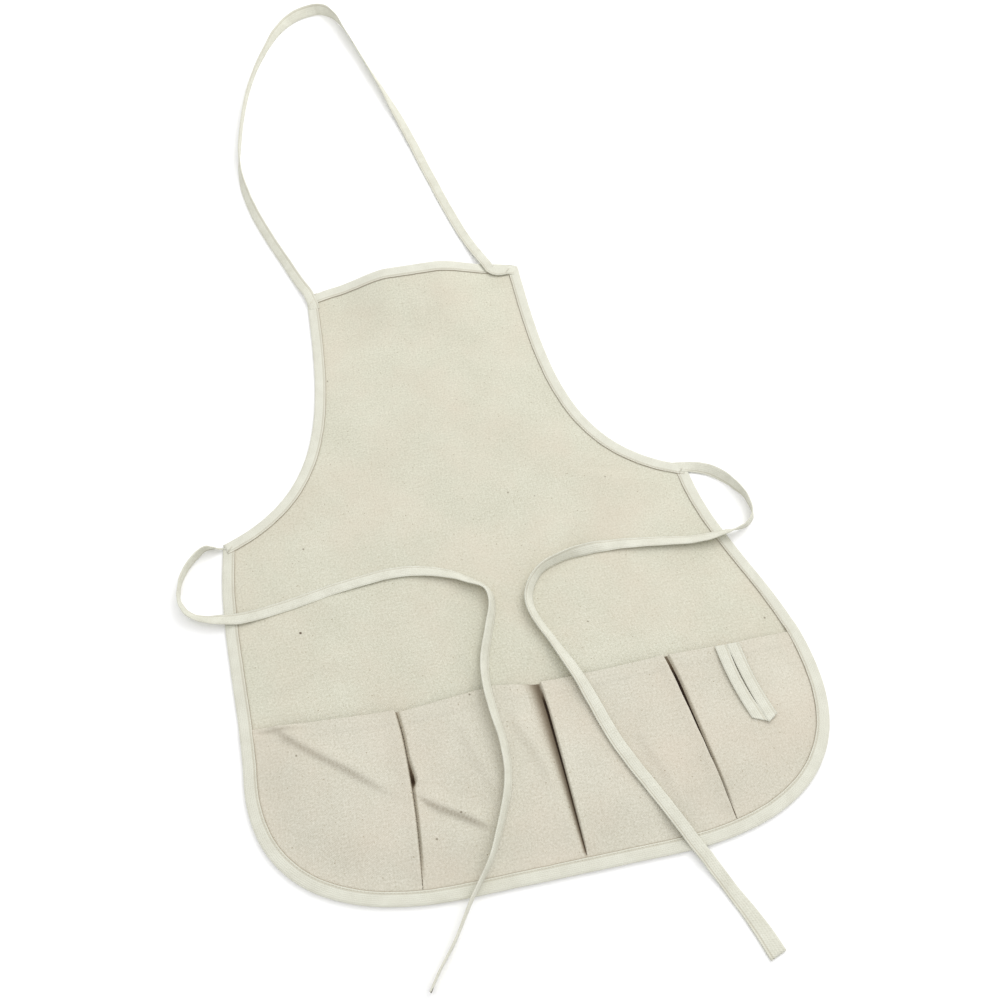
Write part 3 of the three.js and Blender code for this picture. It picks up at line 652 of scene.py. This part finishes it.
def pleat(x, y):
    """Height of the pocket strip over its lowest layer, and how much painted shade each point takes, deep in
    a pleat or at the foot of a crease: low soft crowns, and at each divider a slit between two folded edges."""
    inside = from_edge(x, y) - TAPE
    down = (MOUTH_Y - y) / (MOUTH_Y - HEM_Y)  # 0 at the mouth, 1 at the hem
    z = 3.4 * smooth((inside - 2) / 34)
    deep = np.zeros_like(z)
    # each pleat: its gape at the mouth, how wide its left and right edges roll down, and its two lips
    for k, (gape, left, right, lip_l, lip_r) in enumerate(((0.5, 1.2, 2.4, 1.3, 0.3),
            (1.3, 24.0, 1.0, 0.0, 1.8), (2.4, 1.0, 1.8, 1.8, 0.0))):
        centre = pleat_x(k, y)
        # the first pleat gapes a third of the way down, where its right edge has buckled
        buckle = smooth((down - 0.25) / 0.17) * smooth((0.44 - down) / 0.05) if k == 0 else 0 * down
        half = gape / 2 * (1 - smooth(down * 1.1)) ** 1.3 + (0.22 if k == 0 else 0.3) + np.where(x > centre,
            2.8, 0) * buckle
        beyond = np.abs(x - centre) - half
        on_left = x < centre
        roll = np.where(on_left, left * (1 - 0.8 * smooth(down)), right)
        lip = np.where(on_left, lip_l, lip_r + 1.8 * buckle)
        lip = lip * np.exp(-((np.maximum(beyond, 0) / 8) ** 2)) * smooth((inside - 1) / 12)
        z = (z + lip) * smooth(beyond / roll)
        # painted shade: the slit between the two folded edges is darkened, and beside the second pleat its
        # broad rolled bank is shaded more lightly
        inner = 1 - smooth((beyond + 0.15) / np.where(roll > 3, 1.3, 0.6))
        # the first slit is shut but for its buckle, and the others' mouths stand open to the light
        at_mouth, beyond_mouth = ((0.6, 0.4), (0.45, 0.55), (0.72, 0.28))[k]
        inner = inner * (at_mouth + beyond_mouth * (buckle if k == 0 else smooth(down / 0.13)))
        shade = np.where(roll > 3, 0.72 * (1 - smooth(beyond / (0.62 * roll))) ** 1.3, 0)
        deep = np.maximum(deep, np.maximum(inner, shade) * smooth((inside + 1) / 6))
    # the long creases that run from the pleats and the left-hand binding, and smaller ones, each with painted
    # shade along its foot (its last number)
    for start, end, height, wide, steep, bow, dark in (
            ((-216, -148), (-118, -226), 2.6, 9, 3.2, 3, 0.22),
            ((-105, -228), (-48, -266), 3.0, 8, 3.0, 2, 0.3),
            ((-228, -158), (-184, -159), 1.2, 4, 2, 0, 0.16),
            ((78, -208), (98, -278), 0.9, 9, 5, 0, 0.05), ((-60, -172), (-36, -250), 0.9, 10, 7, 4, 0.06),
            ((150, -240), (205, -205), 0.7, 12, 7, 0, 0), ((-20, -176), (4, -246), 1.0, 6, 5, 0, 0.08)):
        rise, foot = crease(x, y, start, end, height, wide, steep, bow)
        held = smooth((inside - 1) / 9) * smooth(np.min([np.abs(x - pleat_x(k, y)) for k in range(3)],
            axis=0) / 6)
        z = z + rise * held
        deep = np.maximum(deep, dark * foot * held)
    return z, deep


pocket_canvas = natural_canvas("washed_cotton_canvas", "#e1ded0", "#b6b19f", "#8f8066")
col_spec = []
for k in range(4):
    head = [0, 2, 6, 11.6, 14, 17, 21] if k == 0 else [0.5, 0.9, 1.3, 1.8, 2.4, 3.1, 4, 5, 6.2, 7.6, 9.4,
        11.5, 14, 17, 21]
    tail = [-21, -17, -14, -11.6, -6, -2, 0] if k == 3 else [-21, -17, -14, -11.5, -9.4, -7.6, -6.2, -5, -4,
        -3.1, -2.4, -1.8, -1.3, -0.9, -0.5, 0]
    col_spec += [(k, 0, d) for d in head] + [(k, f, 0) for f in np.linspace(0.2, 0.8, 27)] + [(k, 1,
        d) for d in tail]


def stop_x(k, y):
    """The edges of the four pockets: the strip's two ends and its three pleats."""
    return -half_width(y, EDGE) if k == 0 else half_width(y, EDGE) if k == 4 else pleat_x(k - 1, y)


rows = np.r_[np.linspace(HEM_Y + EDGE, MOUTH_Y - 1.5, 110), MOUTH_Y - 0.7, MOUTH_Y]
grid_x = []
for k, f, d in col_spec:
    a, b = stop_x(k, rows), stop_x(k + 1, rows)
    grid_x.append(a + (b - a) * f + d * np.minimum(1, (b - a) / 112))
xs = np.stack(grid_x, 1)
ys = np.repeat(rows[:, None], xs.shape[1], 1)
high, deep = pleat(xs, ys)
# the mouth's edge sags between the pleats; its rows below follow it, less and less
sag = np.interp(xs, [-230, -198, -113, -106, -28, 6, 66, 116, 180, 220],
    [7, 3.4, -1.5, -3.4, 3.6, -1.6, -0.8, 1, 0.2, 2])
ys = ys + sag * smooth((ys - MOUTH_Y + 45) / 45)
# the mouth is turned under once: two layers for 11 mm
high = high + POCKET_Z + 0.45 * smooth((ys - sag - MOUTH_Y + 12) / 1.2)
pocket = cloth_sheet("pocket_strip_cloth", xs, ys, high, CLOTH_T, pocket_canvas, deep)
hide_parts("pocket_panel")
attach(pocket, "apron")


# Bindings: 11 mm cotton tape folded over the raw edge of the canvas and stitched through near its inner
# edge. Along the slack top of the bib it has spread to nearly 13 mm.
PROFILE_W, BIB_SPREAD = 13, 1.16


def binding(name, node, line, mirror=False, height=lambda y: np.full_like(y, THIN), wide=TAPE):
    normal = inward(line)
    h = height(line[:, 1])
    along = np.r_[0, np.cumsum(np.linalg.norm(np.diff(line, axis=0), axis=1))]
    # the stitches pull the tape's inner edge down, and its folded edge is full and round
    profile = [(12.9, 0.02, 0), (9, 0, 0), (3, 0, 0), (1.0, 0.08, 0), (0.2, 0.45, 0), (0, 0.5, 0.5),
        (0.2, -0.45, 1), (1.0, -0.06, 1), (3, 0.06, 1), (7, 0.08, 1), (10, 0.02, 1),
               (11.3, -0.12, 1), (12.2, -0.06, 1), (12.9, -0.12, 1), (13.0, -0.3, 1), (12.9, -0.56, 1),
               (7, -0.6, 1), (2, -0.6, 1), (0.9, -0.9, 1), (0.8, 0.5, 0.5),
               (0.9, 0.9, 0), (2, 0.6, 0), (7, 0.6, 0), (12.9, 0.56, 0)]
    ease = 0.12 * np.sin(along / 7.3) + 0.1 * np.sin(along / 2.9 + 2)
    rings, cloth = [], []
    for d, z, top in profile:
        d = d * wide / PROFILE_W
        dd = d + ease * (0.6 if d > 9 else 0.3)
        zz = np.where(top == 0.5, h / 2,
            h * (top == 1) + z) + (0.10 * np.sin(along / 5.1) * (top == 1) if 2 < d < 9 else 0)
        x, y = line[:, 0] + normal[:, 0] * dd, line[:, 1] + normal[:, 1] * dd
        rings.append(place(-x if mirror else x, y, zz))
        cloth.append(np.stack([np.full_like(x, d * TAPE / wide + (30 if top == 0 else 0)), along,
            np.zeros_like(x)], -1))
    rings, cloth = np.stack(rings, 1), np.stack(cloth, 1)
    if mirror:
        rings, cloth = rings[:, ::-1], cloth[:, ::-1]
    piece = mesh_piece(name, rings.reshape(-1, 3), swept(rings), cloth.reshape(-1, 3), tape_cloth)
    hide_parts(node)
    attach(piece, "apron")
    return piece


def even(line, step):
    """The line again, with points a fixed step apart."""
    s = np.r_[0, np.cumsum(np.linalg.norm(np.diff(line, axis=0), axis=1))]
    t = np.linspace(0, s[-1], max(2, int(s[-1] / step)))
    return np.stack([np.interp(t, s, line[:, k]) for k in range(line.shape[1])], 1)


arm_run = even(arm_line, 3)
binding("right_armhole_tape", "right_armhole_binding", arm_run)
binding("left_armhole_tape", "left_armhole_binding", arm_run, mirror=True)
start_y = WAIST_Y - 3
side_run = skirt_line[skirt_line[:, 1] < start_y]
skirt_run = even(np.vstack([side_run, side_run[-2::-1] * (-1, 1)]), 3)


def skirt_height(y):
    """Thicker where it holds the pocket strip, and lower where its ends pass under the armholes' tape."""
    return THIN + (THICK - THIN) * smooth((MOUTH_Y + 14 - y) / 10) - 0.35 * smooth((y - WAIST_Y + 22) / 14)


binding("skirt_tape", "skirt_binding", skirt_run, height=skirt_height)
top_run = np.array([(x, TOP_Y) for x in np.linspace(-(BIB - 2.5), BIB - 2.5, 90)])
binding("bib_tape", "bib_binding", top_run, wide=BIB_SPREAD * TAPE)


# Towel loop: a strip of the folded tape turned back on itself, mitred to a point and edge stitched,
# its two ends caught in the hem of the right-hand pocket.
loop_x, loop_y, STRAND, LEAN = AXIS_X + LAY + 158.5, MOUTH_Y - 0.5, 10.45, 0.176
section = np.array([(-0.5, -0.5), (-0.25, -0.53), (0.25, -0.53), (0.5, -0.5), (0.51, 0), (0.5, 0.5),
    (0.37, 0.40), (0.2, 0.52), (-0.2, 0.52), (-0.37, 0.40), (-0.5, 0.5), (-0.51, 0)])
for s, (left_end, right_end) in enumerate(((64.7, 69.9), (71.0, 65.2))):
    t = np.linspace(0, 1, 60)[:, None]
    u = section[None, :, 0]  # -0.5 to 0.5 across the strand
    drop = t * (left_end + (right_end - left_end) * (u + 0.5))
    # the strands meet at the root and the point, and stand up to 0.75 mm apart between
    apart = 0.75 * np.sin(math.pi * np.clip((drop - 7) / 49, 0, 1)) ** 0.6
    x = loop_x + STRAND * (0.5 + s) + u * STRAND + LEAN * drop - 2.2 * np.sin(math.pi * drop / 66)
    outwards = 2 * s - 1
    x = x + outwards * (apart * (0.5 - outwards * u) - 0.03)
    floor_z = POCKET_Z + CLOTH_T + pleat(x - lay_x(MOUTH_Y), loop_y - drop)[0]
    z = floor_z.max() + 1.2 + 0.3 * np.sin(drop / 13 + s) + section[None, :, 1] + 0 * drop
    rings = np.stack([x, loop_y - drop, z], -1)
    cloth = np.stack([u * STRAND + 0 * drop, drop, section[None, :, 1] + 0 * drop], -1)
    strand = mesh_piece(f"towel_loop_strand_{s + 1}", rings[:, ::-1].reshape(-1, 3), swept(rings),
        cloth[:, ::-1].reshape(-1, 3), strap_cloth)
    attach(strand, "towel_loop")
    if s == 0:
        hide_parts("utility_loop")


# Sewing thread: cotton thread, lockstitched 2.8 mm apart and drawn 0.42 mm thick, a little coarse, so that it
# shows. Each stitch is a short raised loop of thread that dips into the cloth at both ends.
cotton_thread, tree = new_material("cotton_thread")
shader = add_node(tree, "ShaderNodeBsdfPrincipled", {"Base Color": linear("#d9d5c6"), "Roughness": 0.75,
    "Sheen Weight": 0.2})
add_node(tree, "ShaderNodeOutputMaterial", {"Surface": shader.outputs[0]})


# painted shade: thread down in a pleat is coloured dark brown, for the shade it lies in out of the light
pleat_thread, tree = new_material("pleat_shaded_cotton_thread")
shader = add_node(tree, "ShaderNodeBsdfPrincipled", {"Base Color": linear("#3b3226"), "Roughness": 0.85})
add_node(tree, "ShaderNodeOutputMaterial", {"Surface": shader.outputs[0]})


def stitches(name, node, line, up, body="apron", pitch=2.8, thick=0.42, thread=cotton_thread):
    """One short capsule of thread for each stitch along a line in millimetres."""
    s = np.r_[0, np.cumsum(np.linalg.norm(np.diff(line, axis=0), axis=1))]
    count = max(1, int(s[-1] / pitch))
    points, faces, cloth = [], [], []
    for i in range(count):
        at = (i + 0.5) * s[-1] / count
        t = at + np.array([-0.42, -0.3, 0, 0.3, 0.42]) * pitch
        mid = np.stack([np.interp(t, s, line[:, k]) for k in range(3)], 1)
        along = mid[-1] - mid[0]
        along /= np.linalg.norm(along)
        u = np.array([np.interp(at, s, up[:, k]) for k in range(3)])
        v = np.cross(along, u)
        v /= np.linalg.norm(v)
        base = len(points)
        for m, (r, dip) in zip(mid, ((0.25, -0.16), (0.8, 0.02), (1, 0.1), (0.8, 0.02), (0.25, -0.16))):
            for a in np.arange(6) * math.pi / 3:
                points.append(m + u * dip + (u * math.cos(a) + v * math.sin(a)) * r * thick / 2)
                cloth.append((0, at, 0))
        for j in range(4):
            for k in range(6):
                a, b = base + j * 6 + k, base + j * 6 + (k + 1) % 6
                faces.append((a, b, b + 6, a + 6))
        faces += [tuple(base + k for k in range(6))[::-1], tuple(base + 24 + k for k in range(6))]
    piece = mesh_piece(name, points, faces, cloth, thread)
    if node:
        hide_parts(node)
    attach(piece, body)
    return piece


def seam(line, inset, height, mirror=False):
    """A row of stitches on a binding, and the way up along it."""
    normal = inward(line)
    x, y = (line + normal * inset).T
    p = place(-x if mirror else x, y, height(line[:, 1]))
    return p, np.tile((0.0, 0.0, 1.0), (len(p), 1))


STITCH_IN = 9.6
stitches("bib_tape_stitches", "bib_binding_thread", *seam(top_run[9:-9], BIB_SPREAD * STITCH_IN,
    lambda y: np.full_like(y, THIN)))
stitches("right_armhole_stitches", "right_armhole_thread", *seam(arm_run[5:-2], STITCH_IN,
    lambda y: np.full_like(y, THIN)))
stitches("left_armhole_stitches", "left_armhole_thread", *seam(arm_run[5:-2], STITCH_IN,
    lambda y: np.full_like(y, THIN), True))
stitches("skirt_tape_stitches", "skirt_binding_thread", *seam(skirt_run, STITCH_IN, skirt_height))


def on_pocket(x, y):
    """A row of stitches on the pocket strip, and the way up along it."""
    x, y = np.broadcast_arrays(np.asarray(x, float), np.asarray(y, float))
    p = place(x, y, POCKET_Z + pleat(x, y)[0] + CLOTH_T)
    return p, np.tile((0.0, 0.0, 1.0), (len(p), 1))


mouth_span = float(half_width(MOUTH_Y, TAPE)) - 3
stitches("pocket_hem_stitches", "pocket_hem_thread", *on_pocket(np.linspace(-mouth_span, mouth_span, 400),
    MOUTH_Y - 9.0))
for k in range(3):
    y = np.linspace(MOUTH_Y - 3, HEM_Y + TAPE + 1, 60)
    stitches(f"divider_stitches_{k + 1}", f"divider_thread_{k + 1}", *on_pocket(pleat_x(k, y), y),
        thread=pleat_thread)


def tack(name, node, x, y, z, size=2.2):
    """A bar tack: a short dense zigzag, size mm to each side of its middle."""
    t = np.linspace(-1, 1, 15)
    line = np.stack([x + size * t, y + size * t + 0.9 * (-1) ** np.arange(15), np.full(15, z)], 1)
    stitches(name, node, line, np.tile((0.0, 0.0, 1.0), (15, 1)), pitch=1.9)


tack("left_strap_bar_tack", "left_strap_tack", bib_lx + 5.6, TOP_Y - 6.5, THIN + 0.25 + STRAP_T)
tack("right_strap_bar_tack", "right_strap_tack", bib_rx - 12, TOP_Y - 4.6, THIN + 0.3 + STRAP_T)
tack("left_waist_bar_tack", "left_waist_tack", left_x + 6, WAIST_Y - 5.5, THIN + 0.15)
tack("right_waist_bar_tack", "right_waist_tack", right_x - 6, WAIST_Y - 5.5, THIN + 0.15)
